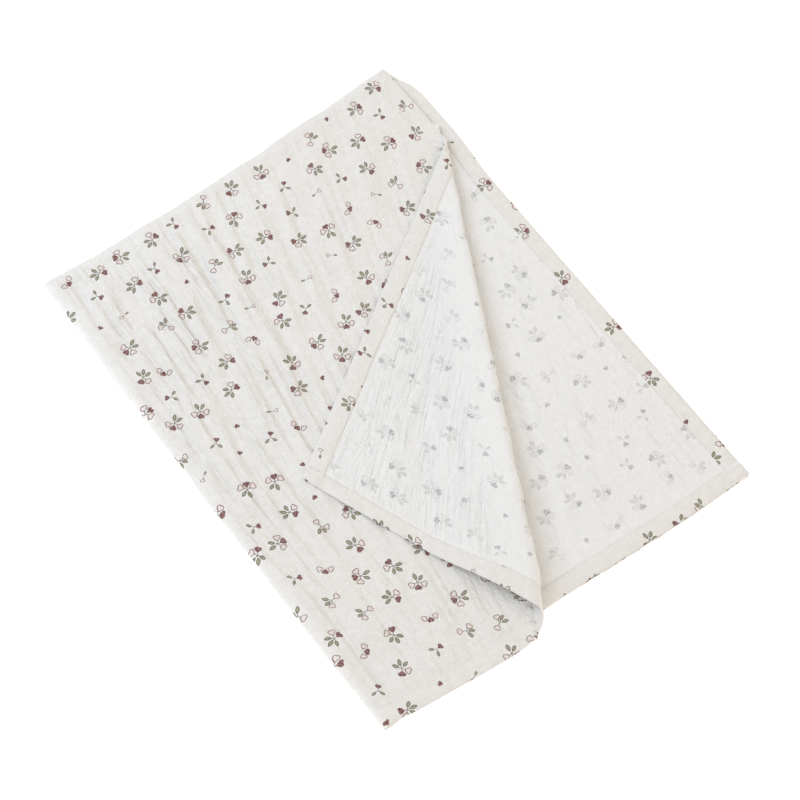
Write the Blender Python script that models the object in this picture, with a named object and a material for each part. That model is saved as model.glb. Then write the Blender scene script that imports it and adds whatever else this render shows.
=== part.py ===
"""A baby's swaddle blanket of cotton gauze, folded in quarters, with one corner of its top layer turned back.

The blanket is one sheet. It is cut flat, creased along its fold lines, and each of its points is then carried
to its place in the folded blanket. Metres, +Z up. It rests on z = 0, with its box centred on the origin.
"""

import math

import bmesh
import bpy
import numpy as np

# The flat cloth. "Across" runs from side to side and "along" from end to end, both from its middle.
CLOTH_WIDTH = 0.90
CLOTH_LENGTH = 1.20
CLOTH_THICKNESS = 0.0012

# The folded stack of four plies. The pitch is the height from the middle of one ply to the next.
PLY_PITCH = 0.0030
FOLDED_WIDTH = CLOTH_WIDTH / 2
FOLDED_LENGTH = CLOTH_LENGTH / 2
SIDE_FOLD_FACETS = 8
TOP_FOLD_FACETS = 6
LINE_SPACING = 0.035

# How the folded plies lie out of true. A pair gives where each of these comes or goes, as shares of the
# folded blanket's length from the bottom hems up, or of its width from the side fold.
SIDE_OUT = 0.0018
SIDE_BOW = 0.0034
SIDE_BOW_COMES = (0.0, 0.45)
TOP_IN = 0.0055
TOP_BOW = 0.0065
TOP_BOW_PEAK = 0.8
TOP_BOW_COMES = (0.5, 1.0)
FOOT_RISE = 0.0060
FOOT_DROP = 0.0033
FOOT_RISE_COMES = (0.0, 0.30)
FOOT_RISE_GOES = (0.44, 0.73)
FOOT_DROP_COMES = (0.66, 0.88)
EDGE_DRAWN_IN = 0.004
EDGE_LET_OUT = 0.005
EDGE_LET_OUT_COMES = (0.70, 0.82)
CORNER_DRAWN_IN = 0.0145
CORNER_COMES = (0.92, 1.0)
EDGE_PLY_STEP = 0.001
TOP_LAYER_DRAWN_IN = 0.0145
TOP_LAYER_SAG = 0.0125
TOP_LAYER_SAG_REACH = 0.17
TOP_LAYER_DIP = 0.0038
TOP_LAYER_DIP_COMES = (0.0, 0.05)
TOP_LAYER_DIP_GOES = (0.14, 0.21)
FOLD_RIDGE_HEIGHT = 0.0022
FOLD_RIDGE_PLACE = 0.009
FOLD_RIDGE_REACH = 0.016

# The turned-back corner: the line where the top layer lifts off, from the bottom hem to the side hem,
# measured from the folded blanket's bottom left corner.
LIFT_FOOT = (0.1765, 0.0)
LIFT_HEAD = (0.4500, 0.5255)
ROLL_AT_FOOT = 0.0098
ROLL_AT_HEAD = 0.0024
# Each bend of the roll, from the lift-off on: its radius, as a share of the roll's own, and its turn.
ROLL_BENDS = (
    # radius, turn in degrees, facets
    (1.34, 79, 6),
    (0.90, 111, 8),
)
LANDING_RADIUS = 0.06
LANDING_FACETS = 3
FLAP_SKEW = 0.36
# The roll's foot is pinched, and drawn up the blanket. Goes: shares of the lift-off line.
# Comes and reach: metres.
ROLL_PINCH = 0.36
ROLL_PINCH_GOES = (-0.01, 0.07)
ROLL_DRAWN_UP = 0.0150
ROLL_DRAWN_UP_COMES = (-0.006, 0.022)
ROLL_DRAWN_UP_GOES = (0.0, 0.24)
ROLL_DRAWN_UP_REACH = 0.09

COTTON = (0.86, 0.83, 0.78, 1.0)
COTTON_ROUGHNESS = 0.9


def ease(value, start, end):
    """A smooth step: 0 up to start, 1 from end on."""
    share = np.clip((value - start) / (end - start), 0.0, 1.0)
    return share * share * (3 - 2 * share)


def fold_over_top(along):
    """The cloth folded over its middle: each point's distance below the fold, and its side of the slab."""
    radius = PLY_PITCH / 2
    run = np.abs(along)
    turn = np.minimum(run / radius, math.pi / 2)
    below = radius * (1 - np.cos(turn)) + np.maximum(run - radius * math.pi / 2, 0)
    return below, np.sign(along) * radius * np.sin(turn)


def fold_over_side(across, side):
    """The two-ply slab folded over its middle: each point's distance from the fold, and its height."""
    radius = PLY_PITCH
    run = np.abs(across)
    turn = np.minimum(run / radius, math.pi / 2)
    clear = 1.5 * PLY_PITCH - (radius + side) * np.cos(turn) + np.maximum(run - radius * math.pi / 2, 0)
    height = np.sign(across) * (radius + side) * np.sin(turn)
    return clear, height + 1.5 * PLY_PITCH + CLOTH_THICKNESS / 2


def top_layer(across, along):
    """1 on the quarter of the cloth that ends up on top, and 0 elsewhere."""
    return np.where((across > 0) & (along > 0), 1.0, 0.0)


def lay_out_of_true(x, y, across, along):
    """The small bows and offsets of the plies, each fading out before the folds that it would tear."""
    top = top_layer(across, along)
    reach = np.clip(x / FOLDED_WIDTH, 0, 1)
    rise = np.clip(y / FOLDED_LENGTH, 0, 1)
    bow = SIDE_OUT + SIDE_BOW * ease(rise, *SIDE_BOW_COMES)
    top_bow = TOP_IN * (1 - reach) + TOP_BOW * np.sin(math.pi * reach ** TOP_BOW_PEAK)
    foot = FOOT_RISE * ease(reach, *FOOT_RISE_COMES) * (1 - ease(reach, *FOOT_RISE_GOES))
    foot = (foot - FOOT_DROP * ease(reach, *FOOT_DROP_COMES)) * (1 - rise) * (1 - top)
    edge = EDGE_DRAWN_IN - EDGE_LET_OUT * ease(rise, *EDGE_LET_OUT_COMES)
    edge = edge + (CORNER_DRAWN_IN - edge) * ease(rise, *CORNER_COMES)
    edge = edge - EDGE_PLY_STEP * np.where(across < 0, 1.0, 0.0)
    drawn_in = np.where(top > 0, TOP_LAYER_DRAWN_IN, edge)
    dip = TOP_LAYER_DIP * ease(x, *TOP_LAYER_DIP_COMES) * (1 - ease(x, *TOP_LAYER_DIP_GOES))
    sag = top * (TOP_LAYER_SAG * ease(x, 0.0, TOP_LAYER_SAG_REACH) + dip) * (1 - rise)
    up = foot - sag - top_bow * ease(rise, *TOP_BOW_COMES)
    return x - bow * (1 - reach) ** 2 - drawn_in * reach ** 2, y + up


def fold_ridge(x, y, top):
    """The soft swelling of the top layer beside the two folded edges."""
    from_side = (x - FOLD_RIDGE_PLACE) / FOLD_RIDGE_REACH
    from_top = (FOLDED_LENGTH - y - FOLD_RIDGE_PLACE) / FOLD_RIDGE_REACH
    nearest = np.minimum(np.abs(from_side), np.abs(from_top))
    swell = np.maximum(1 - nearest ** 2, 0) ** 2
    clear_of_fold = ease(np.minimum(x, FOLDED_LENGTH - y), 0.0, FOLD_RIDGE_PLACE)
    return top * FOLD_RIDGE_HEIGHT * swell * clear_of_fold


def lift_line():
    """The lift-off line: its foot, its direction, the direction square to it, and its length."""
    foot = np.array(LIFT_FOOT)
    run = np.array(LIFT_HEAD) - foot
    length = np.hypot(*run)
    up = run / length
    return foot, up, np.array((up[1], -up[0])), length


def roll_radius(share):
    """The roll tapers from the bottom hem to the side hem, and is pinched at its foot."""
    radius = ROLL_AT_FOOT + (ROLL_AT_HEAD - ROLL_AT_FOOT) * np.clip(share, -0.1, 1.0)
    return radius * (1 - ROLL_PINCH * (1 - ease(share, *ROLL_PINCH_GOES)))


def roll_bends(radius):
    """The roll as (radius, turn, facets) of each bend, with the straight run down to the landing."""
    bends = [(share * radius, math.radians(turn), facets) for share, turn, facets in ROLL_BENDS]
    crest = sum_of_rises(bends)
    down = sum(turn for _, turn, _ in bends) - math.pi
    drop = crest - PLY_PITCH - LANDING_RADIUS * (1 - math.cos(down))
    straight = np.maximum(drop, 0) / math.sin(down)
    return bends, straight, down


def sum_of_rises(bends):
    """How high a run of bends climbs, from level ground."""
    angle, height = 0.0, 0.0
    for radius, turn, _ in bends:
        height = height + radius * (math.cos(angle) - math.cos(angle + turn))
        angle += turn
    return height


def along_roll(run, radius):
    """A point this far past the lift-off line: its way out, its height, and its way past the crest."""
    bends, straight, down = roll_bends(radius)
    out, height, angle = np.zeros_like(run), np.zeros_like(run), 0.0
    left = run
    for bend_radius, turn, _ in bends:
        part = np.clip(left, 0, bend_radius * turn) / bend_radius
        out = out + bend_radius * (np.sin(angle + part) - math.sin(angle))
        height = height + bend_radius * (math.cos(angle) - np.cos(angle + part))
        left = left - bend_radius * turn
        angle += turn
    past = np.maximum(left, 0)
    part = np.clip(left, 0, straight)
    out, height, left = out - part * math.cos(down), height - part * math.sin(down), left - straight
    part = np.clip(left, 0, LANDING_RADIUS * down) / LANDING_RADIUS
    out = out - LANDING_RADIUS * (math.sin(down) - np.sin(down - part))
    height = height - LANDING_RADIUS * (np.cos(down - part) - math.cos(down))
    out = out - np.maximum(left - LANDING_RADIUS * down, 0)
    return out, height, past


def turn_corner_back(x, y, z, top):
    """Rolls the top layer's corner over the lift-off line and lays it back on the blanket."""
    foot, up, square, length = lift_line()
    up_line = (x - foot[0]) * up[0] + (y - foot[1]) * up[1]
    run = (x - foot[0]) * square[0] + (y - foot[1]) * square[1]
    share = up_line / length
    out, height, past = along_roll(run, roll_radius(share))
    turned = (top > 0) & (run > ROLL_DRAWN_UP_COMES[0])
    drawn_up = ease(run, *ROLL_DRAWN_UP_COMES) * (1 - ease(past, 0.0, ROLL_DRAWN_UP_REACH))
    drawn_up = ROLL_DRAWN_UP * drawn_up * (1 - ease(share, *ROLL_DRAWN_UP_GOES))
    up_line = up_line + FLAP_SKEW * past + drawn_up
    new_x = foot[0] + up_line * up[0] + out * square[0]
    new_y = foot[1] + up_line * up[1] + out * square[1]
    return np.where(turned, new_x, x), np.where(turned, new_y, y), np.where(turned, z + height, z)


def folded_place(across, along):
    """Where points of the flat cloth lie in the folded blanket, measured from its bottom left corner."""
    top = top_layer(across, along)
    below, side = fold_over_top(along)
    x, z = fold_over_side(across, side)
    y = FOLDED_LENGTH - below
    z = z + fold_ridge(x, y, top)
    x, y = lay_out_of_true(x, y, across, along)
    return turn_corner_back(x, y, z, top)


def fold_lines(half_size, arc, facets):
    """The lines across one half of the cloth: round its fold, over the ridge and over its panel."""
    round_fold = [arc * number / facets for number in range(1, facets + 1)]
    ridge_end = FOLD_RIDGE_PLACE + FOLD_RIDGE_REACH
    ridge = [FOLD_RIDGE_PLACE / 2, FOLD_RIDGE_PLACE, FOLD_RIDGE_PLACE + FOLD_RIDGE_REACH / 2, ridge_end]
    panels = round((half_size - ridge_end) / LINE_SPACING)
    step = (half_size - ridge_end) / panels
    return round_fold + ridge + [ridge_end + step * number for number in range(1, panels)]


def crease(bm, point, normal, faces=None):
    """Cuts a line across the flat cloth, or across some of its faces."""
    faces = faces or bm.faces[:]
    edges = {edge for face in faces for edge in face.edges}
    corners = {vertex for face in faces for vertex in face.verts}
    geometry = list(faces) + list(edges) + list(corners)
    bmesh.ops.bisect_plane(bm, geom=geometry, dist=1e-6, plane_co=point, plane_no=normal)


def crease_folds(bm):
    """The straight lines of the quarter fold and the hems."""
    side_arc = PLY_PITCH * math.pi / 2
    for line in fold_lines(CLOTH_WIDTH / 2, side_arc, SIDE_FOLD_FACETS // 2):
        crease(bm, (line, 0, 0), (1, 0, 0))
        crease(bm, (-line, 0, 0), (1, 0, 0))
    crease(bm, (0, 0, 0), (1, 0, 0))
    top_arc = PLY_PITCH / 2 * math.pi / 2
    for line in fold_lines(CLOTH_LENGTH / 2, top_arc, TOP_FOLD_FACETS // 2):
        crease(bm, (0, line, 0), (0, 1, 0))
        crease(bm, (0, -line, 0), (0, 1, 0))
    crease(bm, (0, 0, 0), (0, 1, 0))


def roll_marks(radius):
    """How far past the lift-off line each facet of the roll starts."""
    bends, straight, down = roll_bends(radius)
    marks = [0.0]
    for bend_radius, turn, facets in bends:
        start = marks[-1]
        marks += [start + bend_radius * turn * number / facets for number in range(1, facets + 1)]
    start = marks[-1] + float(straight)
    landing = LANDING_RADIUS * down
    return marks + [start + landing * number / LANDING_FACETS for number in range(LANDING_FACETS + 1)]


def crease_roll(bm):
    """The lines of the turned-back corner, which fan out as the roll widens."""
    foot, up, square, length = lift_line()
    marks = zip(roll_marks(roll_radius(0.0)), roll_marks(roll_radius(1.0)))
    for at_foot, at_head in marks:
        low = flat_point(foot + square * at_foot)
        high = flat_point(foot + up * length + square * at_head)
        faces = [face for face in bm.faces if on_top_layer(face)]
        crease(bm, low, (high[1] - low[1], low[0] - high[0], 0), faces)


def flat_point(place):
    """The point of the flat cloth that is laid at a place on the top layer, found by closing in on it."""
    x, y = place
    for _ in range(5):
        laid_x, laid_y = lay_out_of_true(x, y, 1, 1)
        x, y = x + place[0] - laid_x, y + place[1] - laid_y
    return (x, FOLDED_LENGTH - y, 0)


def on_top_layer(face):
    middle = face.calc_center_median()
    return middle.x > 0 and middle.y > 0


def fold_cloth(bm):
    """Carries every vertex from the flat cloth to its place, with the box's middle on the origin."""
    flat = np.array([vertex.co for vertex in bm.verts])
    place = np.stack(folded_place(flat[:, 0], flat[:, 1]), axis=1)
    middle = (place.min(axis=0) + place.max(axis=0)) / 2
    place[:, :2] -= middle[:2]
    for vertex, point in zip(bm.verts, place):
        vertex.co = point


def cotton_gauze():
    material = bpy.data.materials.new("cotton_gauze")
    material.use_nodes = True
    shader = material.node_tree.nodes["Principled BSDF"]
    shader.inputs["Base Color"].default_value = COTTON
    shader.inputs["Roughness"].default_value = COTTON_ROUGHNESS
    return material


def make_blanket():
    bm = bmesh.new()
    bmesh.ops.create_grid(bm, x_segments=1, y_segments=1, size=0.5)
    bmesh.ops.scale(bm, vec=(CLOTH_WIDTH, CLOTH_LENGTH, 1), verts=bm.verts)
    crease_folds(bm)
    crease_roll(bm)
    fold_cloth(bm)
    mesh = bpy.data.meshes.new("blanket")
    bm.to_mesh(mesh)
    bm.free()
    mesh.materials.append(cotton_gauze())
    blanket = bpy.data.objects.new("blanket", mesh)
    bpy.context.scene.collection.objects.link(blanket)
    solid = blanket.modifiers.new("cloth thickness", "SOLIDIFY")
    solid.thickness = CLOTH_THICKNESS
    solid.offset = 0
    solid.use_even_offset = True


for leftover in list(bpy.data.objects):
    bpy.data.objects.remove(leftover)
make_blanket()
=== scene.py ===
import math

import bmesh
import bpy
import numpy as np
from mathutils import Matrix, Vector


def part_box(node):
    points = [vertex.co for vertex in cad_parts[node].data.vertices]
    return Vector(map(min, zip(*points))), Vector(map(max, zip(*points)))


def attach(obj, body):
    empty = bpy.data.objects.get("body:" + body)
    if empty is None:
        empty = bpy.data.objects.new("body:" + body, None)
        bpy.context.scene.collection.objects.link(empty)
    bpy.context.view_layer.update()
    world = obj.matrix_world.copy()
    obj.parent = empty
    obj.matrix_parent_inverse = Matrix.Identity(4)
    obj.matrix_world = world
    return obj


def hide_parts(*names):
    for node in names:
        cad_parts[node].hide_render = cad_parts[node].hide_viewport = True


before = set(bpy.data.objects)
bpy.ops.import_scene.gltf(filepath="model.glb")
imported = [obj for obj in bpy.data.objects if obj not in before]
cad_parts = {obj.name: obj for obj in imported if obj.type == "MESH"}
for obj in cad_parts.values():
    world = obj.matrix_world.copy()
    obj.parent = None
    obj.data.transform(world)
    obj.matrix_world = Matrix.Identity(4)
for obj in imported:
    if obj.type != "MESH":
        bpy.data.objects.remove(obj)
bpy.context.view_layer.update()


# ---------------------------------------------------------------- floor, light and camera
# A studio's white sweep in a warm white room. A large cool softbox beyond the blanket's left side draws the
# creases. A weaker warm one on its right keeps the shadow beside the turned-back corner warm and soft.

FLOOR_SIZE = 8.0
FLOOR_WHITE = "FFFFFF"
FLOOR_GLOW = 0.50
ROOM_LIGHT = 0.745
ROOM_COLOUR = "FFF6EB"
CAMERA_AZIMUTH = -36.39
CAMERA_ELEVATION = 64.74
CAMERA_DISTANCE = 2.2544
CAMERA_LENS = 100.0
CAMERA_AIM = (0.216, 0.272, 0.0)
SOFTBOXES = (
    # azimuth, elevation, distance, size, watts, colour
    (-135.0, 49.0, 2.2, 1.5, 21.5, "CBE0FB"),
    (60.0, 48.0, 2.4, 2.4, 8.0, "FFF3E6"),
)


def linear(hex_colour):
    """An sRGB hex colour as linear red, green, blue and alpha."""
    parts = [int(hex_colour[start:start + 2], 16) / 255 for start in (0, 2, 4)]
    return [part / 12.92 if part <= 0.04045 else ((part + 0.055) / 1.055) ** 2.4 for part in parts] + [1.0]


def add_node(tree, kind, inputs=None, **settings):
    """Adds a node, with its settings, and its inputs given as values or as the sockets that feed them."""
    node = tree.nodes.new(kind)
    for name, value in settings.items():
        setattr(node, name, value)
    for socket, value in (inputs or {}).items():
        if isinstance(value, bpy.types.NodeSocket):
            tree.links.new(value, node.inputs[socket])
        else:
            node.inputs[socket].default_value = value
    return node


def new_material(name):
    """An empty material, its node tree and its output."""
    material = bpy.data.materials.new(name)
    material.use_nodes = True
    tree = material.node_tree
    tree.nodes.clear()
    return material, tree, add_node(tree, "ShaderNodeOutputMaterial")


def finished_object(name, bm, materials):
    mesh = bpy.data.meshes.new(name)
    bm.to_mesh(mesh)
    bm.free()
    for material in materials:
        mesh.materials.append(material)
    mesh.shade_smooth()
    obj = bpy.data.objects.new(name, mesh)
    bpy.context.scene.collection.objects.link(obj)
    return obj


def seen_from(azimuth, elevation):
    """The direction towards someone who looks at the blanket from there."""
    turn, tilt = math.radians(azimuth), math.radians(elevation)
    return Vector((math.sin(turn) * math.cos(tilt), -math.cos(turn) * math.cos(tilt), math.sin(tilt)))


def aimed(obj, target, direction, distance):
    """Stands a light or a camera that far off, facing the target."""
    obj.location = target + direction * distance
    obj.rotation_euler = direction.to_track_quat("Z", "Y").to_euler()
    bpy.context.scene.collection.objects.link(obj)


# Matt white board: lit so that it is a plain, nearly shadowless white.
board, tree, output = new_material("matt_white_board")
grain = add_node(tree, "ShaderNodeTexNoise", {"Scale": 900.0, "Detail": 2.0})
bump = add_node(tree, "ShaderNodeBump", {"Strength": 0.02, "Distance": 0.0002, "Height": grain.outputs[0]})
shader = add_node(tree, "ShaderNodeBsdfPrincipled", {
    "Base Color": linear(FLOOR_WHITE), "Roughness": 0.95, "Specular IOR Level": 0.1,
    "Emission Color": linear(FLOOR_WHITE), "Emission Strength": FLOOR_GLOW, "Normal": bump.outputs[0]})
tree.links.new(shader.outputs[0], output.inputs["Surface"])

bm = bmesh.new()
bmesh.ops.create_grid(bm, x_segments=1, y_segments=1, size=FLOOR_SIZE / 2)
floor = finished_object("floor", bm, [board])

world = bpy.data.worlds.new("white_room")
world.use_nodes = True
world.node_tree.nodes["Background"].inputs["Color"].default_value = linear(ROOM_COLOUR)
world.node_tree.nodes["Background"].inputs["Strength"].default_value = ROOM_LIGHT
bpy.context.scene.world = world
bpy.context.scene.view_settings.view_transform = "Standard"

# The folded blanket's bottom left corner, under its side fold and its bottom hems. All its sizes start there.
FOLDED_WIDTH = 0.45
FOLDED_LENGTH = 0.60
EDGE_OUTSIDE = (0.002, 0.0006)
low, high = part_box("blanket")
CORNER = Vector((high[0] - FOLDED_WIDTH - EDGE_OUTSIDE[0], high[1] - FOLDED_LENGTH - EDGE_OUTSIDE[1], low[2]))

camera = bpy.data.objects.new("camera", bpy.data.cameras.new("camera"))
camera.data.lens = CAMERA_LENS
aimed(camera, CORNER + Vector(CAMERA_AIM), seen_from(CAMERA_AZIMUTH, CAMERA_ELEVATION), CAMERA_DISTANCE)
bpy.context.scene.camera = camera

for number, (azimuth, elevation, distance, size, watts, colour) in enumerate(SOFTBOXES):
    lamp = bpy.data.lights.new(f"softbox_{number}", "AREA")
    lamp.size = size
    lamp.energy = watts
    lamp.color = linear(colour)[:3]
    lamp_object = bpy.data.objects.new(lamp.name, lamp)
    aimed(lamp_object, CORNER + Vector(CAMERA_AIM), seen_from(azimuth, elevation), distance)


# ---------------------------------------------------------------- blanket
# One sheet of double cotton gauze, printed on one face with small sprigs of hearts and leaves. It is hemmed
# all round, folded in half over its top edge and then over its left side, with one corner turned back.
# "Across" and "along" are places on the flat cloth, from its middle towards the top layer's hems.

HEM = 0.019
HEM_RADIUS = 0.00045
HEM_PRESSED = 1.1
HEM_PRESSED_REACH = 0.0070
HEM_CORNER_EASE = 0.004
HEM_LINES_IN = (0.006, HEM - HEM_PRESSED_REACH, HEM - 0.0035, HEM)
CLOTH_THICKNESS = 0.0008
PLY_PITCH = 0.0030

# How the plies lie out of true. A pair gives where each of these comes or goes, as shares of the folded
# blanket's length from the bottom hems up, or of its width from the side fold. For the dip and the loft it is
# in metres.
SIDE_OUT = 0.0018
SIDE_BOW = 0.0034
SIDE_BOW_COMES = (0.0, 0.45)
TOP_IN = 0.0055
TOP_BOW = 0.0065
TOP_BOW_PEAK = 0.8
TOP_BOW_COMES = (0.5, 1.0)
FOOT_RISE = 0.0060
FOOT_DROP = 0.0033
FOOT_RISE_COMES = (0.0, 0.30)
FOOT_RISE_GOES = (0.44, 0.73)
FOOT_DROP_COMES = (0.66, 0.88)
EDGE_DRAWN_IN = 0.004
EDGE_LET_OUT = 0.005
EDGE_LET_OUT_COMES = (0.70, 0.82)
CORNER_DRAWN_IN = 0.0145
CORNER_COMES = (0.92, 1.0)
EDGE_PLY_STEP = 0.001
TOP_LAYER_DRAWN_IN = 0.0145
TOP_LAYER_SAG = 0.0125
TOP_LAYER_SAG_REACH = 0.17
TOP_LAYER_DIP = 0.0038
TOP_LAYER_DIP_COMES = (0.0, 0.05)
TOP_LAYER_DIP_GOES = (0.14, 0.21)
FOLD_RIDGE_HEIGHT = 0.0022
FOLD_RIDGE_PLACE = 0.009
FOLD_RIDGE_REACH = 0.016
TOP_LAYER_LOFT = 0.0019
TOP_LAYER_LOFT_COMES = (0.004, 0.050)

# The turned-back corner: the line where the top layer lifts off, from the bottom hem to the side hem, and the
# place where the corner itself comes down.
LIFT_FOOT = (0.1765, 0.0)
LIFT_HEAD = (0.4500, 0.5255)
CORNER_LANDS = (0.085, 0.250)
ROLL_AT_FOOT = 0.0098
ROLL_AT_HEAD = 0.0024
ROLL_PINCH = 0.36
ROLL_PINCH_GOES = (-0.01, 0.07)
ROLL_DRAWN_UP = 0.0150
ROLL_DRAWN_UP_COMES = (-0.006, 0.022)
ROLL_DRAWN_UP_GOES = (0.0, 0.24)
ROLL_DRAWN_UP_REACH = 0.09
ROLL_BENDS = (
    # radius as a share of the roll's own, turn in degrees
    (1.34, 79),
    (0.90, 111),
)
LANDING_RADIUS = 0.06
FLAP_SKEW = 0.36

# How finely the flat cloth is divided, where its layers show and where they don't.
ACROSS_STEP = 0.0022
ALONG_STEP_TOP = 0.0050
ALONG_STEP_UNDER = 0.0170
HIDDEN_STEP = 0.0200
EDGE_ROWS = 4


def ease(value, start, end):
    """A smooth step: 0 up to start, 1 from end on."""
    share = np.clip((value - start) / (end - start), 0.0, 1.0)
    return share * share * (3 - 2 * share)


def fold_over_top(along):
    """The cloth folded over its middle: each point's distance below the fold, and its side of the slab."""
    radius = PLY_PITCH / 2
    run = np.abs(along)
    turn = np.minimum(run / radius, math.pi / 2)
    below = radius * (1 - np.cos(turn)) + np.maximum(run - radius * math.pi / 2, 0)
    return below, np.sign(along) * radius * np.sin(turn)


def fold_over_side(across, side):
    """The two-ply slab folded over its middle: each point's distance from the fold, and its height."""
    radius = PLY_PITCH
    run = np.abs(across)
    turn = np.minimum(run / radius, math.pi / 2)
    clear = 1.5 * PLY_PITCH - (radius + side) * np.cos(turn) + np.maximum(run - radius * math.pi / 2, 0)
    height = np.sign(across) * (radius + side) * np.sin(turn)
    return clear, height + 1.5 * PLY_PITCH + CLOTH_THICKNESS / 2


def lay_out_of_true(x, y, across, top):
    """The small bows and offsets of the folded plies, each fading out before the folds that it would tear."""
    reach = np.clip(x / FOLDED_WIDTH, 0, 1)
    rise = np.clip(y / FOLDED_LENGTH, 0, 1)
    bow = SIDE_OUT + SIDE_BOW * ease(rise, *SIDE_BOW_COMES)
    top_bow = TOP_IN * (1 - reach) + TOP_BOW * np.sin(math.pi * reach ** TOP_BOW_PEAK)
    foot = FOOT_RISE * ease(reach, *FOOT_RISE_COMES) * (1 - ease(reach, *FOOT_RISE_GOES))
    foot = (foot - FOOT_DROP * ease(reach, *FOOT_DROP_COMES)) * (1 - rise) * ~top
    edge = EDGE_DRAWN_IN - EDGE_LET_OUT * ease(rise, *EDGE_LET_OUT_COMES)
    edge = edge + (CORNER_DRAWN_IN - edge) * ease(rise, *CORNER_COMES)
    edge = edge - EDGE_PLY_STEP * np.where(across < 0, 1.0, 0.0)
    drawn_in = np.where(top, TOP_LAYER_DRAWN_IN, edge)
    dip = TOP_LAYER_DIP * ease(x, *TOP_LAYER_DIP_COMES) * (1 - ease(x, *TOP_LAYER_DIP_GOES))
    sag = top * (TOP_LAYER_SAG * ease(x, 0.0, TOP_LAYER_SAG_REACH) + dip) * (1 - rise)
    y = y - sag - top_bow * ease(rise, *TOP_BOW_COMES) + foot
    return x - bow * (1 - reach) ** 2 - drawn_in * reach ** 2, y


def fold_ridge(x, y, top):
    """The top layer's soft swelling beside the two folded edges, and how it stands off the layer below."""
    from_side = (x - FOLD_RIDGE_PLACE) / FOLD_RIDGE_REACH
    from_top = (FOLDED_LENGTH - y - FOLD_RIDGE_PLACE) / FOLD_RIDGE_REACH
    nearest = np.minimum(np.abs(from_side), np.abs(from_top))
    swell = np.maximum(1 - nearest ** 2, 0) ** 2
    clear_of_fold = ease(np.minimum(x, FOLDED_LENGTH - y), 0.0, FOLD_RIDGE_PLACE)
    loft = TOP_LAYER_LOFT * ease(np.minimum(x, FOLDED_LENGTH - y), *TOP_LAYER_LOFT_COMES)
    return top * (FOLD_RIDGE_HEIGHT * swell * clear_of_fold + loft)


def lift_line():
    """The lift-off line's foot, its direction up the blanket, the direction square to it, and its length."""
    foot = np.array(LIFT_FOOT)
    run = np.array(LIFT_HEAD) - foot
    length = np.hypot(*run)
    up = run / length
    return foot, up, np.array((up[1], -up[0])), length


def along_roll(run, radius):
    """A point this far past the lift-off line: its way out, its height, and its way past the crest."""
    out, height, angle, left = np.zeros_like(run), np.zeros_like(run), 0.0, run
    crest = 0.0
    for share, degrees in ROLL_BENDS:
        bend, turn = share * radius, math.radians(degrees)
        part = np.clip(left, 0, bend * turn) / bend
        out = out + bend * (np.sin(angle + part) - math.sin(angle))
        height = height + bend * (math.cos(angle) - np.cos(angle + part))
        crest = crest + bend * (math.cos(angle) - math.cos(angle + turn))
        left = left - bend * turn
        angle += turn
    past = np.maximum(left, 0)
    down = angle - math.pi
    drop = crest - PLY_PITCH - LANDING_RADIUS * (1 - math.cos(down))
    straight = np.maximum(drop, 0) / math.sin(down)
    part = np.clip(left, 0, straight)
    out, height, left = out - part * math.cos(down), height - part * math.sin(down), left - straight
    part = np.clip(left, 0, LANDING_RADIUS * down) / LANDING_RADIUS
    out = out - LANDING_RADIUS * (math.sin(down) - np.sin(down - part))
    height = height - LANDING_RADIUS * (np.cos(down - part) - math.cos(down))
    return out - np.maximum(left - LANDING_RADIUS * down, 0), height, past


def roll_run(x, y):
    """How far up the lift-off line a place on the top layer is, and how far past it."""
    foot, up, square, length = lift_line()
    up_line = (x - foot[0]) * up[0] + (y - foot[1]) * up[1]
    run = (x - foot[0]) * square[0] + (y - foot[1]) * square[1]
    return up_line, run, up_line / length


def turn_corner_back(x, y, z, top):
    """Rolls the top layer's corner over the lift-off line and lays it back on the blanket."""
    foot, up, square, _ = lift_line()
    up_line, run, share = roll_run(x, y)
    radius = ROLL_AT_FOOT + (ROLL_AT_HEAD - ROLL_AT_FOOT) * np.clip(share, -0.1, 1.0)
    radius = radius * (1 - ROLL_PINCH * (1 - ease(share, *ROLL_PINCH_GOES)))
    out, height, past = along_roll(run, radius)
    turned = top & (run > ROLL_DRAWN_UP_COMES[0])
    drawn_up = ease(run, *ROLL_DRAWN_UP_COMES) * (1 - ease(past, 0.0, ROLL_DRAWN_UP_REACH))
    drawn_up = ROLL_DRAWN_UP * drawn_up * (1 - ease(share, *ROLL_DRAWN_UP_GOES))
    up_line = up_line + FLAP_SKEW * past + drawn_up
    new_x = foot[0] + up_line * up[0] + out * square[0]
    new_y = foot[1] + up_line * up[1] + out * square[1]
    return np.where(turned, new_x, x), np.where(turned, new_y, y), np.where(turned, z + height, z)


def folded_place(across, along):
    """Where points of the hemmed flat cloth lie in the folded blanket, from its corner."""
    top = (across > 0) & (along > 0)
    below, side = fold_over_top(along)
    x, z = fold_over_side(across, side)
    y = FOLDED_LENGTH - below
    z = z + fold_ridge(x, y, top)
    x, y = lay_out_of_true(x, y, across, top)
    return np.stack(turn_corner_back(x, y, z, top), axis=-1)


def printed_face(across, along):
    """The direction that the printed face looks in, at points of the folded cloth."""
    step = 1e-6
    along_way = folded_place(across, along + step) - folded_place(across, along - step)
    across_way = folded_place(across + step, along) - folded_place(across - step, along)
    outward = np.cross(along_way, across_way)
    return outward / np.linalg.norm(outward, axis=-1, keepdims=True)


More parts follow.
